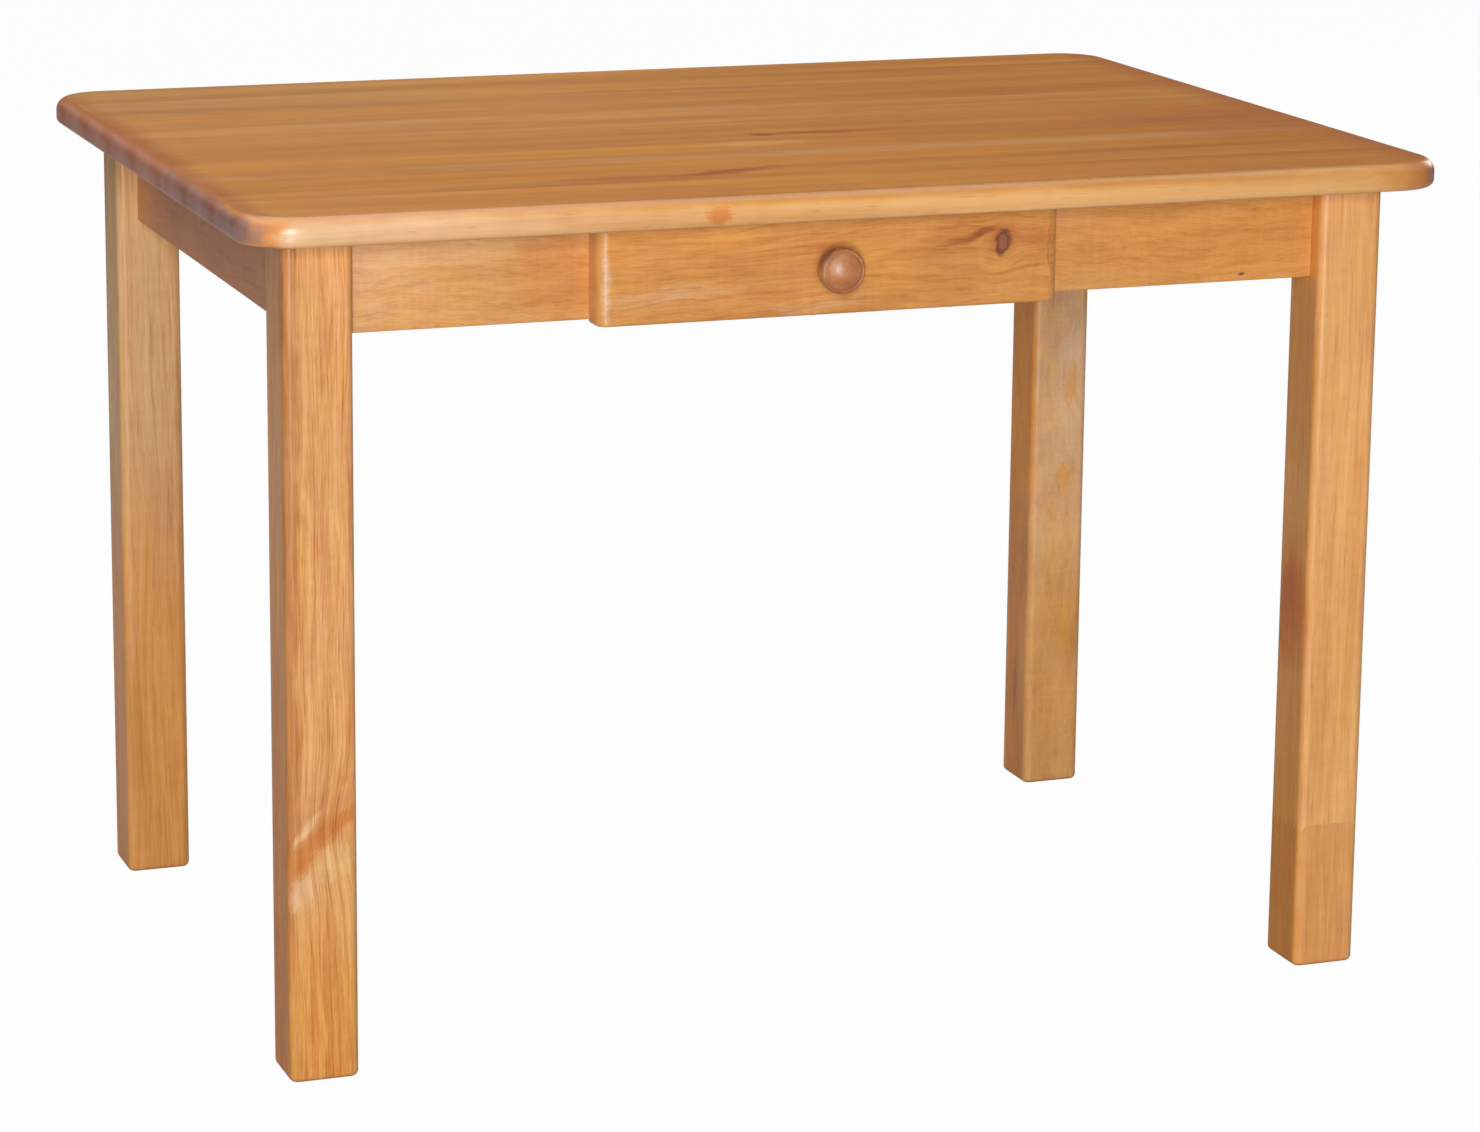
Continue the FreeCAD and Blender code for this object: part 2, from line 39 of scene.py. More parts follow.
camera = bpy.data.objects.new("camera", bpy.data.cameras.new("camera"))
bpy.context.scene.collection.objects.link(camera)
camera.data.sensor_width = sensor_width
camera.data.lens = lens_length
camera.data.shift_y = lens_shift
camera.data.clip_end = seen_range
camera.matrix_world = (
    Matrix.Translation(viewer_place)
    @ Matrix.Rotation(-viewer_heading, 4, "Z")
    @ Matrix.Rotation(math.pi / 2 - viewer_tilt, 4, "X")
    @ Matrix.Rotation(viewer_roll, 4, "Z")
)
bpy.context.scene.camera = camera
bpy.context.scene.view_settings.view_transform = "Standard"

# ---------------------------------------------------------------- studio
# A white studio: a matt white floor that fades into a white surround, a tall soft box
# beside the viewer, a wide one overhead, a cooler one that fills the left side, and one
# that fills the back and the right side.


def linear(hex_colour):
    """Linear RGBA of an sRGB hex colour."""
    channels = [int(hex_colour[i:i + 2], 16) / 255 for i in (1, 3, 5)]
    return [c / 12.92 if c <= 0.04045 else ((c + 0.055) / 1.055) ** 2.4 for c in channels] + [1.0]


def add(tree, kind, links=None, out=0, **settings):
    """Adds a node with its settings, links or sets its inputs, and gives one of its outputs."""
    node = tree.nodes.new(kind)
    for name, value in settings.items():
        setattr(node, name, value)
    for socket, value in (links or {}).items():
        if isinstance(value, bpy.types.NodeSocket):
            tree.links.new(value, node.inputs[socket])
        else:
            node.inputs[socket].default_value = value
    return node.outputs[out] if node.outputs else None


def new_material(name):
    """Empty node material and its tree."""
    material = bpy.data.materials.new(name)
    material.use_nodes = True
    material.node_tree.nodes.clear()
    return material, material.node_tree


plain_white = (1.0, 1.0, 1.0, 1.0)
studio_target = Vector((0.0, 0.0, 0.45))
fill_strength = 0.04

# Each soft box: its place, its width and height in metres, its power in watts, its tint.
soft_boxes = {
    "front_strip_box": (Vector((-2.4, -6.6, 1.6)), 1.05, 3.15, 444.0, "#FFFFFF"),
    "overhead_soft_box": (Vector((-0.3, 0.5, 3.3)), 4.0, 4.0, 104.0, "#FFFFFF"),
    "left_soft_box": (Vector((-4.2, -1.3, 1.4)), 1.2, 1.2, 5.0, "#EEF4FF"),
    "back_soft_box": (Vector((5.2, 3.4, 2.2)), 1.8, 1.8, 60.0, "#FFFFFF"),
}

# Matt white paint: an even, pale ground with no gloss and a faint shadow under the table.
floor_reach = 40.0
floor_white = "#B6B6B4"
floor_roughness = 0.6
floor_glow_share = 0.975

floor_mesh = bpy.data.meshes.new("studio_floor")
corners = [(-floor_reach, -floor_reach, 0.0), (floor_reach, -floor_reach, 0.0),
           (floor_reach, floor_reach, 0.0), (-floor_reach, floor_reach, 0.0)]
floor_mesh.from_pydata(corners, [], [(0, 1, 2, 3)])
floor = bpy.data.objects.new("studio_floor", floor_mesh)
bpy.context.scene.collection.objects.link(floor)
floor_paint, tree = new_material("matt_white_floor")
matt = add(tree, "ShaderNodeBsdfDiffuse", {"Color": linear(floor_white), "Roughness": floor_roughness})
glow = add(tree, "ShaderNodeEmission", {"Color": plain_white, "Strength": 1.0})
seen_straight = add(tree, "ShaderNodeLightPath", out="Is Camera Ray")
glow_share = add(tree, "ShaderNodeMath", {0: seen_straight, 1: floor_glow_share}, operation="MULTIPLY")
mixed = add(tree, "ShaderNodeMixShader", {0: glow_share, 1: matt, 2: glow})
add(tree, "ShaderNodeOutputMaterial", {"Surface": mixed})
floor_mesh.materials.append(floor_paint)

world = bpy.data.worlds.new("white_surround")
world.use_nodes = True
tree = world.node_tree
tree.nodes.clear()
fill = add(tree, "ShaderNodeBackground", {"Color": plain_white, "Strength": fill_strength})
white = add(tree, "ShaderNodeBackground", {"Color": plain_white, "Strength": 1.0})
seen_straight = add(tree, "ShaderNodeLightPath", out="Is Camera Ray")
mixed = add(tree, "ShaderNodeMixShader", {0: seen_straight, 1: fill, 2: white})
add(tree, "ShaderNodeOutputWorld", {"Surface": mixed})
bpy.context.scene.world = world

for name, (place, width, height, power, tint) in soft_boxes.items():
    lamp = bpy.data.lights.new(name, "AREA")
    lamp.shape = "RECTANGLE"
    lamp.size = width
    lamp.size_y = height
    lamp.energy = power
    lamp.color = linear(tint)[:3]
    holder = bpy.data.objects.new(name, lamp)
    bpy.context.scene.collection.objects.link(holder)
    holder.location = place
    holder.rotation_euler = (studio_target - place).to_track_quat("-Z", "Y").to_euler()

# ---------------------------------------------------------------- legs
# Four square posts of solid Scots pine, planed, rounded over along their edges, wiped
# with a honey stain and sprayed with satin lacquer. Vertical grain; the front left leg
# has wild grain round a knot, and the front right one is finger-jointed near its foot.

MM = 1000.0

# Numbers of the sockets with which a Mix node blends colours.
SHARE = 0
FIRST = 6
SECOND = 7
BLENDED = 2

patch_roughness = 0.55


def stretched_noise(tree, place, along, across, seed, detail=2.0, out=0):
    """Noise whose patches are long with the grain and narrow across it, in mm."""
    scaled = add(tree, "ShaderNodeVectorMath", {0: place, 1: (1 / along, 1 / across, 1 / across)},
                 operation="MULTIPLY")
    return add(tree, "ShaderNodeTexNoise", {"Vector": scaled, "W": seed, "Scale": 1.0, "Detail": detail,
                                            "Roughness": patch_roughness}, out, noise_dimensions="4D")


# Waves that bend the grain: how long and how wide they are and how far they push it, in mm.
grain_waves = ((380.0, 120.0, 26.0), (85.0, 26.0, 3.6), (22.0, 5.0, 0.9))

# Rings widen and narrow with the distance from the pith: how fast that changes, and by
# how many years' rings.
growth_change_per_mm = 0.06
growth_swing = 5.0

# Tone of one year's wood: pale early wood, then dark late wood and a sharp end.
year_tones = ((0.0, 0.1), (0.40, 0.18), (0.76, 0.80), (0.88, 1.0), (0.96, 0.4), (1.0, 0.1))
weakest_year = 0.3

# Rings fade out over patches of this length and width in mm, down to this share.
faded_patch = (150.0, 20.0)
faded_share = 0.25

# Patterns on a board's face: whether they bend with the grain, the length and width of
# their patches in mm, their detail, and the noise levels where they start and are full.
face_patterns = {
    "Streak": (True, 120.0, 4.5, 3.0, 0.31, 0.69),
    "Fibre": (True, 34.0, 1.2, 2.0, 0.31, 0.69),
    "Band": (True, 420.0, 15.0, 2.0, 0.34, 0.66),
    "Cloud": (False, 70.0, 17.0, 2.0, 0.34, 0.66),
    "Shade": (False, 210.0, 34.0, 1.0, 0.34, 0.66),
    "Ripple": (False, 9.0, 26.0, 1.0, 0.30, 0.70),
    "Pores": (True, 10.0, 0.9, 1.0, 0.64, 0.76),
}


def pine_figure_group():
    """Figure of a pine board in mm, with the grain along X and the pith on the X axis.

    Growth rings are 1.5 to 3.4 mm wide, pale in the early wood and dark in the late wood.
    Fibres and pores are a tenth of a millimetre wide and too fine to show, so they are
    drawn about 1 mm wide.
    """
    group = bpy.data.node_groups.new("pine_figure", "ShaderNodeTree")
    for name, kind in (("Place", "Vector"), ("Ring width", "Float"), ("Seed", "Float")):
        group.interface.new_socket(name, in_out="INPUT", socket_type="NodeSocket" + kind)
    for name in ("Rings", *face_patterns):
        group.interface.new_socket(name, in_out="OUTPUT", socket_type="NodeSocketFloat")
    given = add(group, "NodeGroupInput").node.outputs
    place = given["Place"]
    seed = given["Seed"]

    bent = place
    for along, across, reach in grain_waves:
        wave = stretched_noise(group, bent, along, across, seed, 1.0, "Color")
        centred = add(group, "ShaderNodeVectorMath", {0: wave, 1: (0.5, 0.5, 0.5)}, operation="SUBTRACT")
        bent = add(group, "ShaderNodeVectorMath", {0: centred, 1: (0.0, reach, reach), 2: bent},
                   operation="MULTIPLY_ADD")

    # Rings are counted outwards from the pith, and each year's late wood has its own strength.
    sideways = add(group, "ShaderNodeVectorMath", {0: bent, 1: (0.0, 1.0, 1.0)}, operation="MULTIPLY")
    radius = add(group, "ShaderNodeVectorMath", {0: sideways}, "Value", operation="LENGTH")
    years = add(group, "ShaderNodeMath", {0: radius, 1: given["Ring width"]}, operation="DIVIDE")
    slow = add(group, "ShaderNodeMath", {0: radius, 1: growth_change_per_mm, 2: seed},
               operation="MULTIPLY_ADD")
    uneven = add(group, "ShaderNodeTexNoise", {"W": slow, "Scale": 1.0, "Detail": 1.0},
                 noise_dimensions="1D")
    age = add(group, "ShaderNodeMath", {0: uneven, 1: growth_swing, 2: years}, operation="MULTIPLY_ADD")
    season = add(group, "ShaderNodeMath", {0: age}, operation="FRACT")
    year = add(group, "ShaderNodeMath", {0: age}, operation="FLOOR")
    hardness = add(group, "ShaderNodeTexWhiteNoise", {"W": year}, noise_dimensions="1D")
    vigour = add(group, "ShaderNodeMapRange", {"Value": hardness, "To Min": weakest_year, "To Max": 1.0})
    profile = add(group, "ShaderNodeValToRGB", {0: season})
    ramp = profile.node.color_ramp
    ramp.interpolation = "EASE"
    for step, (position, tone) in zip(ramp.elements, (year_tones[0], year_tones[-1])):
        step.position = position
        step.color = (tone, tone, tone, 1)
    for position, tone in year_tones[1:-1]:
        ramp.elements.new(position).color = (tone, tone, tone, 1)
    strong = add(group, "ShaderNodeMath", {0: profile, 1: vigour}, operation="MULTIPLY")

    # Rings come and go along a planed face, where stain and lacquer even them out.
    bloom = stretched_noise(group, place, *faded_patch, seed, 1.0)
    shown = add(group, "ShaderNodeMapRange", {"Value": bloom, "From Min": 0.38, "From Max": 0.62,
                                              "To Min": faded_share, "To Max": 1.0})
    results = {"Rings": add(group, "ShaderNodeMath", {0: strong, 1: shown}, operation="MULTIPLY")}
    for name, (bends, along, across, detail, low, high) in face_patterns.items():
        noise = stretched_noise(group, bent if bends else place, along, across, seed, detail)
        results[name] = add(group, "ShaderNodeMapRange", {"Value": noise, "From Min": low,
                                                          "From Max": high})
    add(group, "NodeGroupOutput", results)
    return group


pine_figure = pine_figure_group()


def board_place(tree, axes, centre):
    """Place on a board in mm from its centre: along the grain, across it and through it."""
    where = add(tree, "ShaderNodeTexCoord", out="Object")
    moved = add(tree, "ShaderNodeVectorMath", {0: where, 1: centre}, operation="SUBTRACT")
    scaled = add(tree, "ShaderNodeVectorMath", {0: moved, "Scale": MM}, operation="SCALE")
    apart = add(tree, "ShaderNodeSeparateXYZ", {0: scaled}).node.outputs
    return add(tree, "ShaderNodeCombineXYZ", {i: apart[axis] for i, axis in enumerate(axes)})


def reach_from(tree, place, middle, reach, turn):
    """Distance from a middle in shares of a reach in mm, and the place, both turned on the face."""
    turned = add(tree, "ShaderNodeVectorRotate", {"Vector": place, "Center": middle,
                                                  "Angle": -math.radians(turn)}, rotation_type="Z_AXIS")
    away = add(tree, "ShaderNodeVectorMath", {0: turned, 1: middle}, operation="SUBTRACT")
    shares = add(tree, "ShaderNodeVectorMath", {0: away, 1: tuple(1 / r for r in reach)},
                 operation="MULTIPLY")
    return add(tree, "ShaderNodeVectorMath", {0: shares}, "Value", operation="LENGTH"), away


# Grain flows round a knot within twice its reach, pushed aside by up to this share.
parting_reach = 2.0
parting_push = 0.65


def parted_by(tree, place, knot):
    """The place that the grain comes from where it flows round a knot."""
    middle, reach, turn = knot[:3]
    distance, away = reach_from(tree, place, middle, [parting_reach * r for r in reach], turn)
    squared = add(tree, "ShaderNodeMath", {0: distance, 1: distance}, operation="MULTIPLY")
    fall = add(tree, "ShaderNodeMath", {0: squared, 1: -1.0}, operation="MULTIPLY")
    pull = add(tree, "ShaderNodeMath", {0: fall}, operation="EXPONENT")
    push = add(tree, "ShaderNodeMath", {0: pull, 1: -parting_push}, operation="MULTIPLY")
    sideways = add(tree, "ShaderNodeVectorMath", {0: away, 1: (0.0, 1.0, 0.0)}, operation="MULTIPLY")
    pushed = add(tree, "ShaderNodeVectorMath", {0: sideways, "Scale": push}, operation="SCALE")
    return add(tree, "ShaderNodeVectorMath", {0: place, 1: pushed}, operation="ADD")


# A knot's outline and rim, in shares of its reach with the raggedness added, and the rings
# in its heart: their wave in radians a reach, and how dark they are.
knot_raggedness = 1.1
knot_outline = (1.80, 1.25)
knot_rim = (0.9, 1.4)
knot_ring_wave = 12.0
knot_ring_depth = 0.18


def knot_in(tree, place, colour, knot):
    """The colour with a knot set in: ragged outline, ringed heart and dark rim."""
    middle, reach, turn, heart, rim, strength = knot
    distance, away = reach_from(tree, place, middle, reach, turn)
    ragged = stretched_noise(tree, away, reach[0] * 0.9, reach[1] * 0.45, reach[0], 3.0)
    rough = add(tree, "ShaderNodeMath", {0: ragged, 1: knot_raggedness, 2: distance},
                operation="MULTIPLY_ADD")
    inside = add(tree, "ShaderNodeMapRange", {"Value": rough, "From Min": knot_outline[0],
                                              "From Max": knot_outline[1], "To Max": strength},
                 interpolation_type="SMOOTHSTEP")
    rimmed = add(tree, "ShaderNodeMapRange", {"Value": rough, "From Min": knot_rim[0],
                                              "From Max": knot_rim[1]}, interpolation_type="SMOOTHSTEP")
    rings = add(tree, "ShaderNodeMath", {0: rough, 1: knot_ring_wave}, operation="MULTIPLY")
    wave = add(tree, "ShaderNodeMath", {0: rings}, operation="SINE")
    dark = add(tree, "ShaderNodeMath", {0: wave, 1: knot_ring_depth, 2: rimmed},
               operation="MULTIPLY_ADD", use_clamp=True)
    knotty = add(tree, "ShaderNodeMix", {SHARE: dark, FIRST: linear(heart), SECOND: linear(rim)},
                 BLENDED, data_type="RGBA")
    return add(tree, "ShaderNodeMix", {SHARE: inside, FIRST: colour, SECOND: knotty},
               BLENDED, data_type="RGBA")


# A mark's outline, in shares of its reach with the raggedness added.
mark_raggedness = 2.4
mark_outline = (1.15, 0.35)
finest_mark_patch = 1.2


def mark_in(tree, place, colour, mark):
    """The colour with a soft, feathered mark. Marks are patches where the wood took the stain differently,
    and also painted shade and painted highlights.
    """
    middle, reach, turn, shade, strength, feather = mark
    distance, away = reach_from(tree, place, middle, reach, turn)
    patch_width = max(reach[1] * 0.22, finest_mark_patch)
    ragged = stretched_noise(tree, away, reach[0] * 0.55, patch_width, reach[0], 3.0)
    centred = add(tree, "ShaderNodeMath", {0: ragged, 1: 0.5}, operation="SUBTRACT")
    rough = add(tree, "ShaderNodeMath", {0: centred, 1: mark_raggedness * feather, 2: distance},
                operation="MULTIPLY_ADD")
    inside = add(tree, "ShaderNodeMapRange", {"Value": rough, "From Min": mark_outline[0],
                                              "From Max": mark_outline[1], "To Max": strength},
                 interpolation_type="SMOOTHSTEP")
    return add(tree, "ShaderNodeMix", {SHARE: inside, FIRST: colour, SECOND: linear(shade)},
               BLENDED, data_type="RGBA")


# End grain comes in as a face turns across the grain, from 0 to 1: how far on the fringe
# is full, where the core starts and is full, and how ragged both are.
fringe_width = 0.35
core_start = 0.22
core_full = 0.70
end_raggedness = 0.9


def end_grain(tree, place, colour, axis, ends):
    """Faces cut across the grain drink the stain: an orange fringe, then a dull, blotchy core. On the top
    and the drawer front the given shades partly hold painted light.
    """
    fringe, core, blotch, start = ends
    normal = add(tree, "ShaderNodeTexCoord", out="Normal")
    facing = add(tree, "ShaderNodeSeparateXYZ", {0: normal}, axis)
    size = add(tree, "ShaderNodeMath", {0: facing}, operation="ABSOLUTE")
    soft = stretched_noise(tree, place, along=30.0, across=20.0, seed=4.0)
    centred = add(tree, "ShaderNodeMath", {0: soft, 1: 0.5}, operation="SUBTRACT")
    rough = add(tree, "ShaderNodeMath", {0: centred, 1: end_raggedness, 2: size}, operation="MULTIPLY_ADD")
    first = add(tree, "ShaderNodeMapRange", {"Value": rough, "From Min": start,
                                             "From Max": start + fringe_width},
                interpolation_type="SMOOTHSTEP")
    second = add(tree, "ShaderNodeMapRange", {"Value": rough, "From Min": start + core_start,
                                              "From Max": start + core_full},
                 interpolation_type="SMOOTHSTEP")
    cloud = stretched_noise(tree, place, along=40.0, across=44.0, seed=8.0)
    cloudy = add(tree, "ShaderNodeMapRange", {"Value": cloud, "From Min": 0.36, "From Max": 0.64})
    cores = add(tree, "ShaderNodeMix", {SHARE: cloudy, FIRST: linear(core), SECOND: linear(blotch)},
                BLENDED, data_type="RGBA")
    fringed = add(tree, "ShaderNodeMix", {SHARE: first, FIRST: colour, SECOND: linear(fringe)},
                  BLENDED, data_type="RGBA")
    return add(tree, "ShaderNodeMix", {SHARE: second, FIRST: fringed, SECOND: cores},
               BLENDED, data_type="RGBA")


# Below a finger joint the board is another length of wood, sawn this many mm off.
second_length_shift = (0.0, 23.0, 14.0)


def finger_joint(tree, place, height, tooth_pitch, tooth_length):
    """Whether a place is below a finger joint, and the place with the wood below it shifted."""
    through = add(tree, "ShaderNodeSeparateXYZ", {0: place}, 2)
    tooth = add(tree, "ShaderNodeMath", {0: through, 1: tooth_pitch}, operation="PINGPONG")
    along = add(tree, "ShaderNodeSeparateXYZ", {0: place})
    edge = add(tree, "ShaderNodeMath", {0: tooth, 1: tooth_length / tooth_pitch, 2: along},
               operation="MULTIPLY_ADD")
    below = add(tree, "ShaderNodeMath", {0: edge, 1: height}, operation="LESS_THAN")
    shifted = add(tree, "ShaderNodeVectorMath", {0: second_length_shift, 1: below, 2: place},
                  operation="MULTIPLY_ADD")
    return below, shifted


def place_in_tree(tree, place, pith, spread):
    """The place in the tree that a board's place was sawn from, with the pith on the X axis."""
    across, through, lean_across, lean_through = pith
    from_pith = add(tree, "ShaderNodeVectorMath", {0: place, 1: (0.0, across, through)},
                    operation="SUBTRACT")
    along = add(tree, "ShaderNodeSeparateXYZ", {0: place})
    lean = add(tree, "ShaderNodeVectorMath", {0: (0.0, lean_across, lean_through), "Scale": along},
               operation="SCALE")
    leaning = add(tree, "ShaderNodeVectorMath", {0: from_pith, 1: lean}, operation="ADD")
    return add(tree, "ShaderNodeVectorMath", {0: leaning,
                                              1: (1 / spread[0], 1 / spread[1], 1 / spread[1])},
               operation="MULTIPLY")


# Rounded edges face between two sides of the board. They are paler: partly worn by handling, partly a
# painted highlight.
flat_facing = 0.97
edge_facing = 0.75
edge_wear_and_sheen = 0.10
wear_and_sheen_shade = "#F4C894"


def wear_and_sheen_edges(tree, colour):
    """The colour paler along the rounded edges: the stain rubbed a little thinner, and a painted
    highlight.
    """
    normal = add(tree, "ShaderNodeTexCoord", out="Normal")
    sizes = add(tree, "ShaderNodeVectorMath", {0: normal}, operation="ABSOLUTE")
    parts = add(tree, "ShaderNodeSeparateXYZ", {0: sizes}).node.outputs
    larger = add(tree, "ShaderNodeMath", {0: parts[0], 1: parts[1]}, operation="MAXIMUM")
    largest = add(tree, "ShaderNodeMath", {0: larger, 1: parts[2]}, operation="MAXIMUM")
    wear_and_sheen = add(tree, "ShaderNodeMapRange", {"Value": largest, "From Min": flat_facing,
                                            "From Max": edge_facing, "To Max": edge_wear_and_sheen},
               interpolation_type="SMOOTHSTEP")
    return add(tree, "ShaderNodeMix", {SHARE: wear_and_sheen, FIRST: colour, SECOND: linear(wear_and_sheen_shade)},
               BLENDED, data_type="RGBA")


# Lacquered pine: honey-stained wood with darker, redder lines of late wood, fine streaks
# and brown pores, under a thin satin skin that gives broad, soft highlights.
wood_ior = 1.5
wood_specular = 0.12
wood_roughness = 0.48
lacquer_ior = 1.5
lacquer_weight = 0.8
lacquer_roughness = 0.33
lacquered_relief = 0.3

# Bare pine: the same figure without stain or lacquer, straw pale, dry and matt.
bare_specular = 0.5
bare_roughness = 0.62
bare_relief = 0.6

# Tones that darken the early wood with the depth of the figure, from none to full.
late_wood_tones = ((0.12, "#FFFFFF"), (0.38, "#F6EDE2"), (0.62, "#E6D3BA"), (0.92, "#C99F74"))
shade_dimming = 0.10
ripple_dimming = 0.05
pore_shade = "#8A4E22"
pore_strength = 0.30
fibre_relief = 0.7
fibre_dulling = 0.10
relief_height = 0.00012

# Marks waver by this much over patches of this length and width, in mm.
waver_patch = (34.0, 16.0)
waver_reach = 14.0


def pine(name, axes, centre, pith, seed, casts, ring_width=3.0, mix=(0.22, 0.38, 0.30, 0.10),
         spread=(1.0, 1.0), hidden_knots=(), knots=(), marks=(), late_marks=(),
         ends=("#C9803F", "#B98A6A", "#C29A80", 0.1), joint=None, lacquered=True,
         gloss=lacquer_roughness):
    """Material of one pine board.

    axes: the frame's axes that run along the grain, across it and through the board
    centre: middle of the board in metres
    pith: place of the tree's heart across and through the board in mm, and how it leans
    casts: golden and rosy colour of the early wood
    mix: how much rings, streaks, fibres and bands darken the board
    spread: how much the figure is stretched along and across the grain
    late_marks: marks that lie over the knots and the end grain
    ends: fringe, core and blotch of the end grain, and how soon it starts at a rounding
    joint: height, tooth pitch and tooth length of a finger joint in mm, and the cast below
    gloss: roughness of the lacquer
    """
    material, tree = new_material(name)
    place = board_place(tree, axes, centre)
    figured = place
    if joint:
        below, figured = finger_joint(tree, place, *joint[:3])
    for knot in hidden_knots + knots:
        figured = parted_by(tree, figured, knot)
    figure = add(tree, "ShaderNodeGroup", node_tree=pine_figure).node
    tree.links.new(place_in_tree(tree, figured, pith, spread), figure.inputs["Place"])
    figure.inputs["Ring width"].default_value = ring_width
    figure.inputs["Seed"].default_value = seed
    shown = figure.outputs

    # Early wood, gold and rosy in clouds, with the marks of the stain and the painted light and shade.
    base = add(tree, "ShaderNodeMix", {SHARE: shown["Cloud"], FIRST: linear(casts[0]),
                                       SECOND: linear(casts[1])}, BLENDED, data_type="RGBA")
    wave = stretched_noise(tree, place, *waver_patch, seed, 1.0, "Color")
    centred = add(tree, "ShaderNodeVectorMath", {0: wave, 1: (0.5, 0.5, 0.5)}, operation="SUBTRACT")
    wavy = add(tree, "ShaderNodeVectorMath", {0: centred, 1: (waver_reach, waver_reach, 0.0), 2: place},
               operation="MULTIPLY_ADD")
    for mark in marks:
        base = mark_in(tree, wavy, base, mark)

    # Rings, streaks, fibres and bands add up to the depth of the figure.
    rings = add(tree, "ShaderNodeMath", {0: shown["Rings"], 1: mix[0]}, operation="MULTIPLY")
    streaked = add(tree, "ShaderNodeMath", {0: shown["Streak"], 1: mix[1], 2: rings},
                   operation="MULTIPLY_ADD")
    fibrous = add(tree, "ShaderNodeMath", {0: shown["Fibre"], 1: mix[2], 2: streaked},
                  operation="MULTIPLY_ADD")
    depth = add(tree, "ShaderNodeMath", {0: shown["Band"], 1: mix[3], 2: fibrous},
                operation="MULTIPLY_ADD")
    grain = add(tree, "ShaderNodeValToRGB", {0: depth})
    ramp = grain.node.color_ramp
    for step, (position, tone) in zip(ramp.elements, (late_wood_tones[0], late_wood_tones[-1])):
        step.position = position
        step.color = linear(tone)
    for position, tone in late_wood_tones[1:-1]:
        ramp.elements.new(position).color = linear(tone)
    colour = add(tree, "ShaderNodeMix", {SHARE: 1.0, FIRST: base, SECOND: grain}, BLENDED,
                 data_type="RGBA", blend_type="MULTIPLY")
    dimmed = add(tree, "ShaderNodeMath", {0: shown["Shade"], 1: -shade_dimming, 2: 1.0},
                 operation="MULTIPLY_ADD")
    level = add(tree, "ShaderNodeMath", {0: shown["Ripple"], 1: -ripple_dimming, 2: dimmed},
                operation="MULTIPLY_ADD")
    colour = add(tree, "ShaderNodeMix", {SHARE: 1.0, FIRST: colour, SECOND: level}, BLENDED,
                 data_type="RGBA", blend_type="MULTIPLY")
    pores = add(tree, "ShaderNodeMath", {0: shown["Pores"], 1: pore_strength}, operation="MULTIPLY")
    colour = add(tree, "ShaderNodeMix", {SHARE: pores, FIRST: colour, SECOND: linear(pore_shade)},
                 BLENDED, data_type="RGBA")

    # What breaks the figure: a second length of wood, knots, end grain, and worn edges with a painted
    # highlight.
    if joint:
        colour = add(tree, "ShaderNodeMix", {SHARE: below, FIRST: colour, SECOND: linear(joint[3])},
                     BLENDED, data_type="RGBA", blend_type="MULTIPLY")
    for knot in knots:
        colour = knot_in(tree, place, colour, knot)
    if ends:
        colour = end_grain(tree, place, colour, axes[0], ends)
    for mark in late_marks:
        colour = mark_in(tree, wavy, colour, mark)
    colour = wear_and_sheen_edges(tree, colour)

    relief = add(tree, "ShaderNodeMath", {0: shown["Fibre"], 1: fibre_relief, 2: shown["Rings"]},
                 operation="MULTIPLY_ADD")
    bump = add(tree, "ShaderNodeBump", {"Height": relief, "Distance": relief_height,
                                        "Strength": lacquered_relief if lacquered else bare_relief})
    dullness = add(tree, "ShaderNodeMath", {0: shown["Fibre"], 1: fibre_dulling,
                                            2: wood_roughness if lacquered else bare_roughness},
                   operation="MULTIPLY_ADD")
    surface = add(tree, "ShaderNodeBsdfPrincipled", {
        "Base Color": colour, "Roughness": dullness, "IOR": wood_ior, "Normal": bump,
        "Specular IOR Level": wood_specular if lacquered else bare_specular,
        "Coat Weight": lacquer_weight if lacquered else 0.0, "Coat Roughness": gloss,
        "Coat IOR": lacquer_ior})
    add(tree, "ShaderNodeOutputMaterial", {"Surface": surface})
    return material


def finish_board(node, material):
    """Gives a carried-over board its material in all its slots."""
    piece = boards[node]
    piece.data.materials.clear()
    piece.data.materials.append(material)


def centre_of(node):
    """Middle of a piece's box at rest, in metres."""
    low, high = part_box(node)
    return tuple((low + high) / 2)


# Places on a board are in mm from its middle: along the grain, across it and through it.
# A mark is a middle, a reach, a turn on the face in degrees, a shade, a strength, and how
# ragged its edge is. A knot is the same up to its turn, then the shades of its heart and
# rim and its strength. A hidden knot, below the face, is only a middle, reach and turn.
UPRIGHT = (2, 0, 1)
leg_wood = {
    "front_left": {
        "casts": ("#F1BA75", "#ECAF7A"), "pith": (-70.0, 52.0, 0.012, 0.0), "ring_width": 2.6,
        "mix": (0.28, 0.46, 0.36, 0.10),
        "hidden_knots": (((-146.0, 44.0, -24.0), (26.0, 20.0, 60.0), 0.0),),
    },
    "front_right": {
        "casts": ("#F5BB74", "#F0B178"), "pith": (58.0, 60.0, -0.008, 0.006), "ring_width": 2.2,
        "mix": (0.14, 0.30, 0.24, 0.14), "joint": (-226.0, 4.0, 11.0, "#F7EEE2"),
    },
    "back_left": {
        "casts": ("#DDA668", "#D69D6D"), "pith": (64.0, 40.0, 0.01, 0.0), "ring_width": 3.1,
        "mix": (0.20, 0.36, 0.30, 0.12),
    },
    "back_right": {
        "casts": ("#E8BA80", "#E0AE84"), "pith": (-48.0, 70.0, 0.006, -0.01), "ring_width": 2.4,
        "mix": (0.06, 0.24, 0.20, 0.18), "spread": (0.30, 1.5),
    },
}
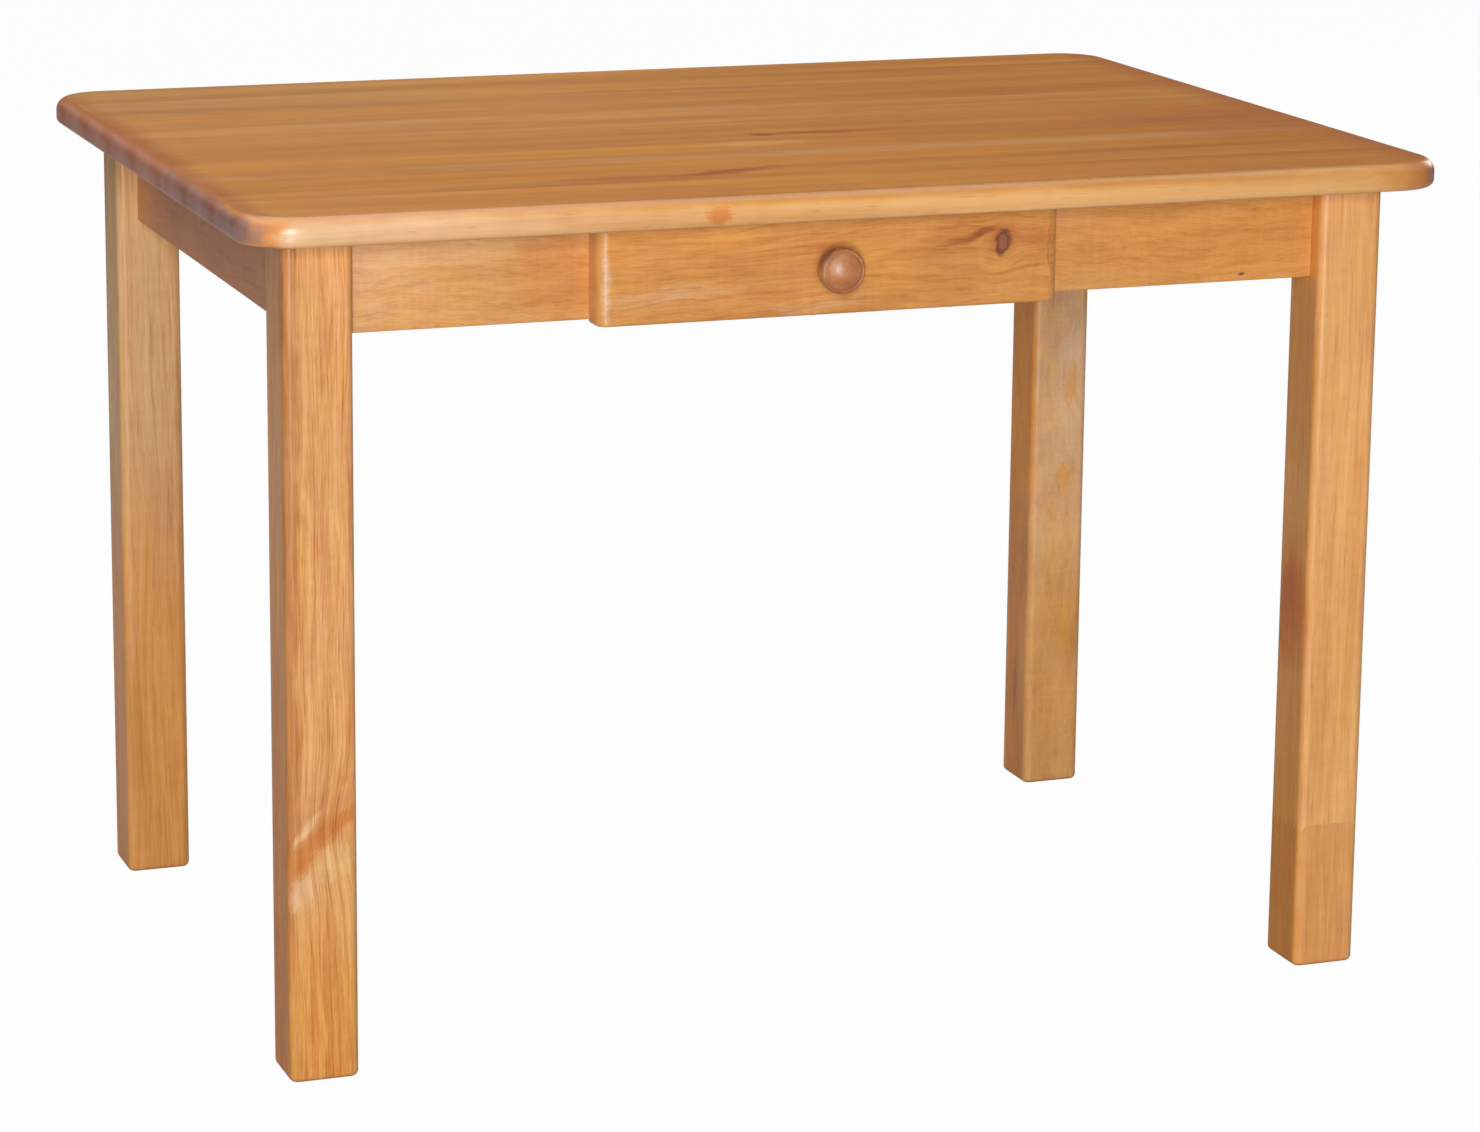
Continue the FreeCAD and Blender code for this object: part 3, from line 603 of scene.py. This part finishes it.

# On the sides that face left the marks are partly stain and partly painted light: a deeper orange that
# takes out the grey reflection the lamps leave on these faces, a paler upper part on the back left leg
# that lifts the shade under the table top, and a band of painted shade along the front left leg's rounded
# edge between its left side and front. The front left leg's front has the swirl round its knot, light and
# dark by turns.
leg_marks = {
    "front_left": (((0.0, -29.0, -29.0), (1500.0, 12.0, 12.0), 0.0, "#C98342", 0.85, 0.2),
                   ((-196.0, -18.0, -30.0), (24.0, 14.0, 30.0), 30.0, "#F0C79C", 0.75, 0.6),
                   ((-170.0, 8.0, -30.0), (22.0, 17.0, 30.0), 30.0, "#F5CF94", 0.75, 0.5),
                   ((-122.0, 4.0, -30.0), (34.0, 18.0, 30.0), 48.0, "#DB9260", 0.30, 1.2),
                   ((-151.0, -5.0, -30.0), (38.0, 10.0, 30.0), 45.0, "#DE9350", 0.90, 0.8),
                   ((-168.0, -21.0, -30.0), (17.0, 14.0, 30.0), 40.0, "#D78A3C", 0.90, 0.6),
                   ((-134.0, 16.0, -30.0), (24.0, 8.0, 30.0), 50.0, "#E2904A", 0.85, 0.8),
                   ((-140.0, -14.0, -30.0), (21.0, 4.5, 30.0), 42.0, "#FAD0A2", 0.85, 0.5),
                   ((-310.0, 0.0, -30.0), (100.0, 60.0, 26.0), 0.0, "#EAAE58", 0.8, 0.3),
                   ((-210.0, -31.0, 4.0), (400.0, 9.0, 40.0), 0.0, "#E48C04", 0.98, 0.3),
                   ((-262.0, 4.0, -30.0), (90.0, 6.0, 30.0), 0.0, "#D98C44", 0.55, 0.8),
                   ((-330.0, -10.0, -30.0), (80.0, 8.0, 30.0), 0.0, "#DC8E42", 0.50, 0.8),
                   ((-345.0, 12.0, -30.0), (70.0, 12.0, 30.0), 0.0, "#DB8E44", 0.50, 0.8)),
    "front_right": (((0.0, -31.0, 0.0), (1500.0, 9.0, 40.0), 0.0, "#E6982C", 0.7, 0.3),
                    ((155.0, -31.0, 0.0), (150.0, 9.0, 40.0), 0.0, "#E2A050", 0.8, 0.3),
                    ((78.0, -31.0, 0.0), (40.0, 9.0, 40.0), 0.0, "#EEAE66", 0.7, 0.4),
                    ((-30.0, -31.0, 2.0), (66.0, 9.0, 34.0), 0.0, "#D06C14", 0.78, 0.5),
                    ((-14.0, -31.0, 6.0), (30.0, 9.0, 16.0), 0.0, "#B4562C", 0.4, 0.8),
                    ((-300.0, -31.0, 0.0), (130.0, 9.0, 40.0), 0.0, "#EFA648", 0.8, 0.2),
                    ((-110.0, -14.0, -30.0), (150.0, 11.0, 20.0), 0.0, "#E4A766", 0.85, 0.4),
                    ((40.0, 14.0, -30.0), (120.0, 11.0, 20.0), 0.0, "#EBAC68", 0.8, 0.4),
                    ((30.0, -10.0, -30.0), (60.0, 7.0, 20.0), 0.0, "#DD9C68", 0.45, 0.8)),
    "back_left": (((0.0, -31.0, 0.0), (1500.0, 9.0, 40.0), 0.0, "#E09A41", 0.7, 0.3),
                  ((260.0, -31.0, 0.0), (420.0, 9.0, 40.0), 0.0, "#F0C894", 0.8, 0.3),
                  ((-230.0, -31.0, 0.0), (280.0, 9.0, 40.0), 0.0, "#EC9422", 0.9, 0.3),
                  ((200.0, 0.0, -30.0), (250.0, 60.0, 26.0), 0.0, "#DAB380", 0.8, 0.4),
                  ((-260.0, 0.0, -30.0), (270.0, 60.0, 26.0), 0.0, "#D8984E", 0.85, 0.4)),
    "back_right": (((0.0, -31.0, 0.0), (1500.0, 9.0, 40.0), 0.0, "#DB8410", 0.85, 0.3),
                   ((60.0, -31.0, 0.0), (150.0, 9.0, 40.0), 0.0, "#EE9C2A", 0.8, 0.3),
                   ((70.0, 13.0, -30.0), (110.0, 22.0, 24.0), 0.0, "#E8C6A6", 0.6, 0.5),
                   ((-260.0, 0.0, -30.0), (210.0, 60.0, 26.0), 0.0, "#DCA25C", 0.85, 0.4),
                   ((-40.0, 6.0, -30.0), (20.0, 9.0, 30.0), 0.0, "#E8A858", 0.75, 0.9),
                   ((-110.0, -4.0, -30.0), (60.0, 10.0, 30.0), 0.0, "#E9B066", 0.40, 0.9),
                   ((60.0, 12.0, -30.0), (26.0, 8.0, 30.0), 0.0, "#E6A452", 0.70, 0.9),
                   ((-200.0, 10.0, -30.0), (34.0, 12.0, 30.0), 0.0, "#E6A450", 0.70, 0.9),
                   ((-267.0, -30.0, 0.0), (40.0, 9.0, 5.0), 0.0, "#8E5030", 0.5, 0.8)),
}
leg_ends = ("#B9743C", "#A8744C", "#B58864", 0.4)

for number, (corner, wood) in enumerate(leg_wood.items()):
    node = "leg_" + corner
    post = pine("lacquered_pine_" + node, UPRIGHT, centre_of(node), seed=3.1 + 7.7 * number,
                marks=leg_marks[corner], ends=leg_ends, **wood)
    finish_board(node, post)

# ---------------------------------------------------------------- aprons
# Four 20 mm pine boards on edge between the legs, planed, stained and lacquered like
# them. Their grain runs lengthwise; the front one is paler at its left end.

ALONG_X = (0, 2, 1)
ALONG_Y = (1, 2, 0)
apron_wood = {
    "front": {"casts": ("#E4AC66", "#DFA56C"), "pith": (6.0, 60.0, 0.02, 0.0)},
    "back": {"casts": ("#E2AA62", "#DCA266"), "pith": (-14.0, -75.0, 0.015, 0.0)},
    "left": {"casts": ("#DE9862", "#D88E68"), "pith": (20.0, 48.0, 0.03, 0.0)},
    "right": {"casts": ("#DDA468", "#D69C6C"), "pith": (-10.0, -52.0, -0.02, 0.0)},
}
apron_ring_width = 3.4
apron_mix = (0.24, 0.28, 0.28, 0.12)
apron_spread = (0.4, 1.0)
apron_marks = {
    "front": (((-400.0, 30.0, 0.0), (260.0, 34.0, 30.0), 0.0, "#E8BA84", 0.75, 0.5),
              ((-440.0, 10.0, 0.0), (70.0, 60.0, 30.0), 0.0, "#E6B88C", 0.6, 0.6),
              ((400.0, 0.0, 0.0), (300.0, 80.0, 30.0), 0.0, "#E29E50", 0.85, 0.3),
              ((-262.0, 0.0, 0.0), (60.0, 80.0, 30.0), 0.0, "#D88E46", 0.6, 0.5),
              ((377.4, -36.0, -10.0), (4.0, 2.0, 6.0), 0.0, "#6A3420", 0.85, 0.4)),
    "left": (((290.0, 0.0, 0.0), (60.0, 200.0, 60.0), 0.0, "#DC8636", 0.95, 0.3),),
}

for number, (side, wood) in enumerate(apron_wood.items()):
    node = "apron_" + side
    axes = ALONG_X if side in ("front", "back") else ALONG_Y
    rail = pine("lacquered_pine_" + node, axes, centre_of(node), seed=40.3 + 5.9 * number,
                ring_width=apron_ring_width, mix=apron_mix, spread=apron_spread,
                marks=apron_marks.get(side, ()), **wood)
    finish_board(node, rail)

# ---------------------------------------------------------------- corner plates and hardware
# Bent plates of 2 mm steel, and their bolts, washers, nuts and screws, all bright zinc
# plated: a dull silver with a faint crystal pattern and a slight yellow and blue cast.

zinc_grey = "#B9BAB8"
zinc_warm = "#C2BCA8"
zinc_cool = "#AEB6C0"
zinc_grey_share = 0.55
zinc_crystal = 1.8
zinc_cloud = 30.0
zinc_roughness = 0.38
zinc_facet_dulling = 0.12

zinc, tree = new_material("zinc_plated_steel")
place = board_place(tree, (0, 1, 2), (0.0, 0.0, 0.0))
crystal = add(tree, "ShaderNodeTexVoronoi", {"Vector": place, "Scale": 1 / zinc_crystal}, "Color")
cloud = stretched_noise(tree, place, zinc_cloud, zinc_cloud, 1.0)
share = add(tree, "ShaderNodeMapRange", {"Value": cloud, "From Min": 0.35, "From Max": 0.65})
tinted = add(tree, "ShaderNodeMix", {SHARE: share, FIRST: linear(zinc_warm), SECOND: linear(zinc_cool)},
             BLENDED, data_type="RGBA")
colour = add(tree, "ShaderNodeMix", {SHARE: zinc_grey_share, FIRST: tinted, SECOND: linear(zinc_grey)},
             BLENDED, data_type="RGBA")
facet = add(tree, "ShaderNodeSeparateColor", {0: crystal})
dullness = add(tree, "ShaderNodeMath", {0: facet, 1: zinc_facet_dulling, 2: zinc_roughness},
               operation="MULTIPLY_ADD")
surface = add(tree, "ShaderNodeBsdfPrincipled", {"Base Color": colour, "Metallic": 1.0,
                                                 "Roughness": dullness})
add(tree, "ShaderNodeOutputMaterial", {"Surface": surface})

hardware = ["corner_plate_" + corner for corner in leg_wood]
hardware += ["hanger_bolts", "plate_washers", "hex_nuts", "plate_screws", "button_screws", "kicker_screws",
             "stop_screws", "drawer_back_screws", "drawer_bottom_screws", "knob_screw"]
for node in hardware:
    finish_board(node, zinc)

# ---------------------------------------------------------------- guides and buttons
# Softwood pieces inside the frame, planed and left bare. Two runners have stub tenons in
# the aprons. Two kickers, the stop block and the top's buttons are screwed up to the top.

bare_casts = ("#ECD3A4", "#E6C89C")
bare_ends = ("#E0C08E", "#D9BC90", "#CFAE80", 0.3)
inner_ring_width = 2.8
inner_pith = (34.0, 22.0, 0.01, 0.0)
inner_boards = {
    "drawer_runner_left": ALONG_Y, "drawer_runner_right": ALONG_Y,
    "drawer_kicker_left": ALONG_Y, "drawer_kicker_right": ALONG_Y,
    "drawer_stop": ALONG_X, "top_buttons": ALONG_X,
}

for number, (node, axes) in enumerate(inner_boards.items()):
    bare = pine("bare_pine_" + node, axes, centre_of(node), inner_pith, 80.7 + 3.3 * number,
                bare_casts, inner_ring_width, ends=bare_ends, lacquered=False)
    finish_board(node, bare)

# ---------------------------------------------------------------- top
# Eight staves of pine glued edge to edge, the panel's corners and edges rounded over.
# The end grain drank the stain, so both ends are a dark, purplish brown with an orange fringe. The
# purplish tint is partly a painted cool reflection, and the outer stave's edge is paler.

FLAT_X = (0, 1, 2)
stave_count = 8
top_casts = (("#E79E3E", "#E29642"), ("#E29A3C", "#DC923E"), ("#E09838", "#DA8E3C"),
             ("#E09B44", "#DA9348"), ("#E6A555", "#DF9E58"), ("#E2A14C", "#DC9750"),
             ("#DC9E4E", "#D59452"), ("#DF9F4F", "#D89653"))
top_mix = (0.07, 0.14, 0.10, 0.45)
top_spread = (2.5, 2.0)

# End grain: dark and purplish at the front stave, and graded back to a redder brown. The purplish grey of
# cores and blotches is partly a painted cool reflection.
top_ends = {1: ("#D8883E", "#8A5C50", "#A68078", 0.22), 2: ("#C07238", "#9A604A", "#B0827A", 0.10),
            3: ("#BC6E38", "#9C624A", "#B2847A", 0.08)}
usual_ends = ("#B86A38", "#B26C4A", "#BE8A7A", 0.08)

# A pale band runs along the front stave's edge. Staves 2 and 4 have the reddish streaks.
stave_marks = {
    1: (((0.0, -52.0, -7.0), (2600.0, 15.0, 20.5), 0.0, "#E8B478", 0.95, 0.10),
        ((-500.0, -52.0, -4.0), (380.0, 16.0, 21.0), 0.0, "#F4CCA2", 0.95, 0.2),
        # Painted shade: a darker band along the upper rounding of the front edge, which tones down the
        # lamps' light there.
        ((190.0, -45.0, 14.0), (900.0, 13.0, 9.5), 0.0, "#BC8040", 0.9, 0.1),
        ((0.0, -50.0, -13.0), (2600.0, 7.0, 5.0), 0.0, "#FBCC94", 0.8, 0.1),
        ((440.0, -52.0, -4.0), (300.0, 16.0, 21.0), 0.0, "#E6AE6C", 0.8, 0.2),
        ((535.0, -50.0, -2.0), (80.0, 18.0, 22.0), 0.0, "#CE8844", 0.75, 0.4),
        ((-144.0, -49.0, -2.0), (12.0, 11.0, 11.0), 0.0, "#DE8A42", 0.85, 0.8)),
    2: (((-300.0, 9.0, 12.0), (220.0, 13.0, 20.0), 0.0, "#E2902C", 0.6, 0.5),
        ((-196.0, -20.0, 12.0), (75.0, 13.0, 20.0), 0.0, "#C87030", 0.8, 0.5),
        ((-90.0, -14.0, 12.0), (75.0, 13.0, 20.0), 14.0, "#B8602C", 0.85, 0.5)),
    3: (((0.0, -24.0, 12.0), (900.0, 20.0, 20.0), 0.0, "#E6B074", 0.55, 0.4),
        ((330.0, 36.0, 12.0), (300.0, 12.0, 20.0), 0.0, "#CC8A4C", 0.55, 0.5),
        ((-7.0, 32.0, 12.0), (60.0, 18.0, 20.0), 0.0, "#E8B47C", 0.4, 0.5),
        ((470.0, -10.0, 12.0), (110.0, 60.0, 20.0), 0.0, "#C87A48", 0.6, 0.5)),
    4: (((75.0, -17.0, 12.0), (75.0, 12.0, 20.0), -2.0, "#BC6A34", 0.8, 0.5),
        ((14.0, -15.0, 12.0), (15.0, 11.0, 20.0), -20.0, "#9C5A30", 0.85, 0.6),
        ((430.0, -20.0, 12.0), (140.0, 50.0, 20.0), 0.0, "#C87A48", 0.6, 0.5)),
    6: (((0.0, -44.0, 12.0), (700.0, 12.0, 20.0), 0.0, "#E6B47A", 0.5, 0.5),),
    7: (((55.0, -10.0, 12.0), (220.0, 9.0, 20.0), -2.0, "#B87440", 0.7, 0.6),
        ((-420.0, 0.0, 12.0), (260.0, 200.0, 40.0), 0.0, "#CC9656", 0.5, 0.3)),
    8: (((-420.0, 0.0, 12.0), (300.0, 200.0, 40.0), 0.0, "#CE9858", 0.6, 0.3),),
}

# Towards the right the whole top is a deeper gold, and both ends are browner. A last brown over the end
# grain at the right end is partly stain and partly painted light: it keeps the painted cool reflection of
# the end grain off that end.
end_marks = (((520.0, 0.0, 0.0), (620.0, 2000.0, 60.0), 0.0, "#CE8638", 0.62, 0.15),
             ((-550.0, 0.0, 0.0), (36.0, 2000.0, 40.0), 0.0, "#BC7238", 0.7, 0.35),
             ((550.0, 0.0, 0.0), (36.0, 2000.0, 40.0), 0.0, "#BC7238", 0.7, 0.35))
right_end_marks = (((552.0, 0.0, 0.0), (50.0, 2000.0, 60.0), 0.0, "#B8703E", 0.65, 0.35),)

for number in range(1, stave_count + 1):
    node = "top_stave_%d" % number

    # Staves are glued with their heart sides up and down by turns.
    side = 1 if number % 2 else -1
    pith = (12.0 - 9.0 * (number % 4), side * (38.0 + 6.0 * (number % 3)), 0.012 * side, 0.0)
    stave = pine("lacquered_pine_" + node, FLAT_X, centre_of(node), pith, 11.9 + 6.1 * number,
                 top_casts[number - 1], 1.6 + 0.2 * (number % 3), top_mix, top_spread,
                 marks=end_marks + stave_marks.get(number, ()), late_marks=right_end_marks,
                 ends=top_ends.get(number, usual_ends))
    finish_board(node, stave)

# ---------------------------------------------------------------- drawer front
# One thick pine board with its ends rounded over, stained and lacquered. A sound dark
# knot sits near its right end, with a reddish swirl running out of it to the left.

front_casts = ("#E4A556", "#DA9A5A")
front_ring_width = 3.2
front_mix = (0.24, 0.38, 0.28, 0.10)
front_spread = (0.6, 1.0)
front_pith = (-4.0, 46.0, -0.02, 0.0)
front_knots = (((158.5, 12.0, -12.0), (7.2, 12.0, 30.0), -8.0, "#8E5840", "#6A3628", 0.92),)
front_marks = (((176.0, 16.0, -12.0), (34.0, 9.0, 20.0), -6.0, "#C4763E", 0.50, 0.9),
               ((158.0, 14.0, -12.0), (18.0, 16.0, 20.0), 0.0, "#C07844", 0.60, 0.6),
               ((138.0, 22.0, -12.0), (17.0, 4.0, 20.0), 24.0, "#9C5434", 0.80, 0.4),
               ((120.0, 14.0, -12.0), (22.0, 4.5, 20.0), 14.0, "#A85C36", 0.70, 0.6),
               ((90.0, 13.0, -12.0), (36.0, 5.0, 20.0), 2.0, "#B86C3C", 0.25, 0.8),
               ((122.0, 27.0, -12.0), (30.0, 2.4, 20.0), 2.0, "#B4683A", 0.50, 0.6),
               ((204.0, 0.0, -12.0), (1.2, 50.0, 20.0), 0.0, "#B8743C", 0.5, 0.3),
               ((-150.0, -20.0, -12.0), (70.0, 9.0, 20.0), 3.0, "#E6B88C", 0.5, 0.7),
               ((-20.0, -34.0, -12.0), (60.0, 5.0, 20.0), 2.0, "#E2B488", 0.5, 0.8),
               # Painted shadow of the knob, round its foot and reaching up and to the left.
               ((-3.0, 2.0, -12.0), (16.0, 17.0, 20.0), 0.0, "#AC5E28", 0.8, 0.1),
               # Painted highlight: a pale streak down the rounding of the left end.
               ((-205.0, -8.0, -12.0), (4.6, 44.0, 20.0), 0.0, "#E8CBB4", 0.5, 0.2))
# The ends are kept nearly as pale as the face: partly painted light, which lifts the shade on the end
# faces.
front_ends = ("#CC904C", "#DEA05A", "#D89956", 0.55)
front_board = pine("lacquered_pine_drawer_front", ALONG_X, centre_of("drawer_front"), front_pith, 21.7,
                   front_casts, front_ring_width, front_mix, front_spread, knots=front_knots,
                   marks=front_marks, ends=front_ends)
finish_board("drawer_front", front_board)

# ---------------------------------------------------------------- drawer box
# Bare pine sides, dowelled to the front, and a bare pine back screwed between them. A thin
# birch plywood bottom lies in their grooves. The dowels are beech.

box_boards = {"drawer_side_left": ALONG_Y, "drawer_side_right": ALONG_Y, "drawer_back": ALONG_X}
box_pith = (18.0, 40.0, 0.015, 0.0)
box_ring_width = 2.9
for number, (node, axes) in enumerate(box_boards.items()):
    bare = pine("bare_pine_" + node, axes, centre_of(node), box_pith, 101.3 + 4.7 * number,
                bare_casts, box_ring_width, ends=bare_ends, lacquered=False)
    finish_board(node, bare)

# Birch plywood: a very pale, even face veneer with a wide, faint figure.
plywood_casts = ("#EEDDB8", "#E8D3AC")
plywood_pith = (30.0, 9.0, 0.02, 0.0)
plywood_ring_width = 9.0
plywood = pine("birch_plywood", FLAT_X, centre_of("drawer_bottom"), plywood_pith, 130.1, plywood_casts,
               plywood_ring_width, ends=bare_ends, lacquered=False)
finish_board("drawer_bottom", plywood)

# Beech: pinker and closer-grained than the pine round it.
beech_casts = ("#E8C8A0", "#DEB890")
beech_pith = (30.0, 9.0, 0.0, 0.0)
beech_ring_width = 1.6
beech = pine("beech_dowel", ALONG_Y, centre_of("drawer_dowels"), beech_pith, 140.1, beech_casts,
             beech_ring_width, ends=bare_ends, lacquered=False)
finish_board("drawer_dowels", beech)

# ---------------------------------------------------------------- knob
# A knob turned from a closer-grained, redder piece, lacquered, and held by a screw from inside the drawer.
# It is darker in its groove. Painted shade darkens its neck behind the rim and its upper left side, and a
# painted highlight lies on its dome.

OUTWARDS = (1, 0, 2)
knob_casts = ("#CF9262", "#C07F55")
knob_pith = (40.0, 16.0, 0.0, 0.0)
knob_ring_width = 1.5
knob_mix = (0.4, 0.3, 0.3, 0.0)
knob_roughness = 0.37
# Painted highlight on the dome.
knob_marks = (((-15.0, -7.0, 5.0), (8.0, 9.0, 9.0), 0.0, "#CCA49C", 0.45, 0.2),
              ((-8.0, 0.0, -14.0), (30.0, 30.0, 13.0), 0.0, "#B4603A", 0.7, 0.3),
              # Painted shade on the neck behind the rim, all round, and on the upper left side.
              ((14.0, 0.0, 0.0), (9.0, 60.0, 60.0), 0.0, "#7A4028", 0.80, 0.1),
              ((-2.0, -15.0, 13.0), (9.0, 14.0, 16.0), 0.0, "#561A0C", 0.95, 0.1),
              ((-10.4, 0.0, 0.0), (1.6, 60.0, 60.0), 0.0, "#8E5030", 0.30, 0.1))
turned_knob = pine("lacquered_turned_knob", OUTWARDS, centre_of("knob"), knob_pith, 60.3, knob_casts,
                   knob_ring_width, mix=knob_mix, marks=knob_marks, ends=None, gloss=knob_roughness)
finish_board("knob", turned_knob)

# ---------------------------------------------------------------- size and finish
# No piece is added or moved here, so the box of the finished table is the box of the bare solids.

bpy.context.view_layer.update()
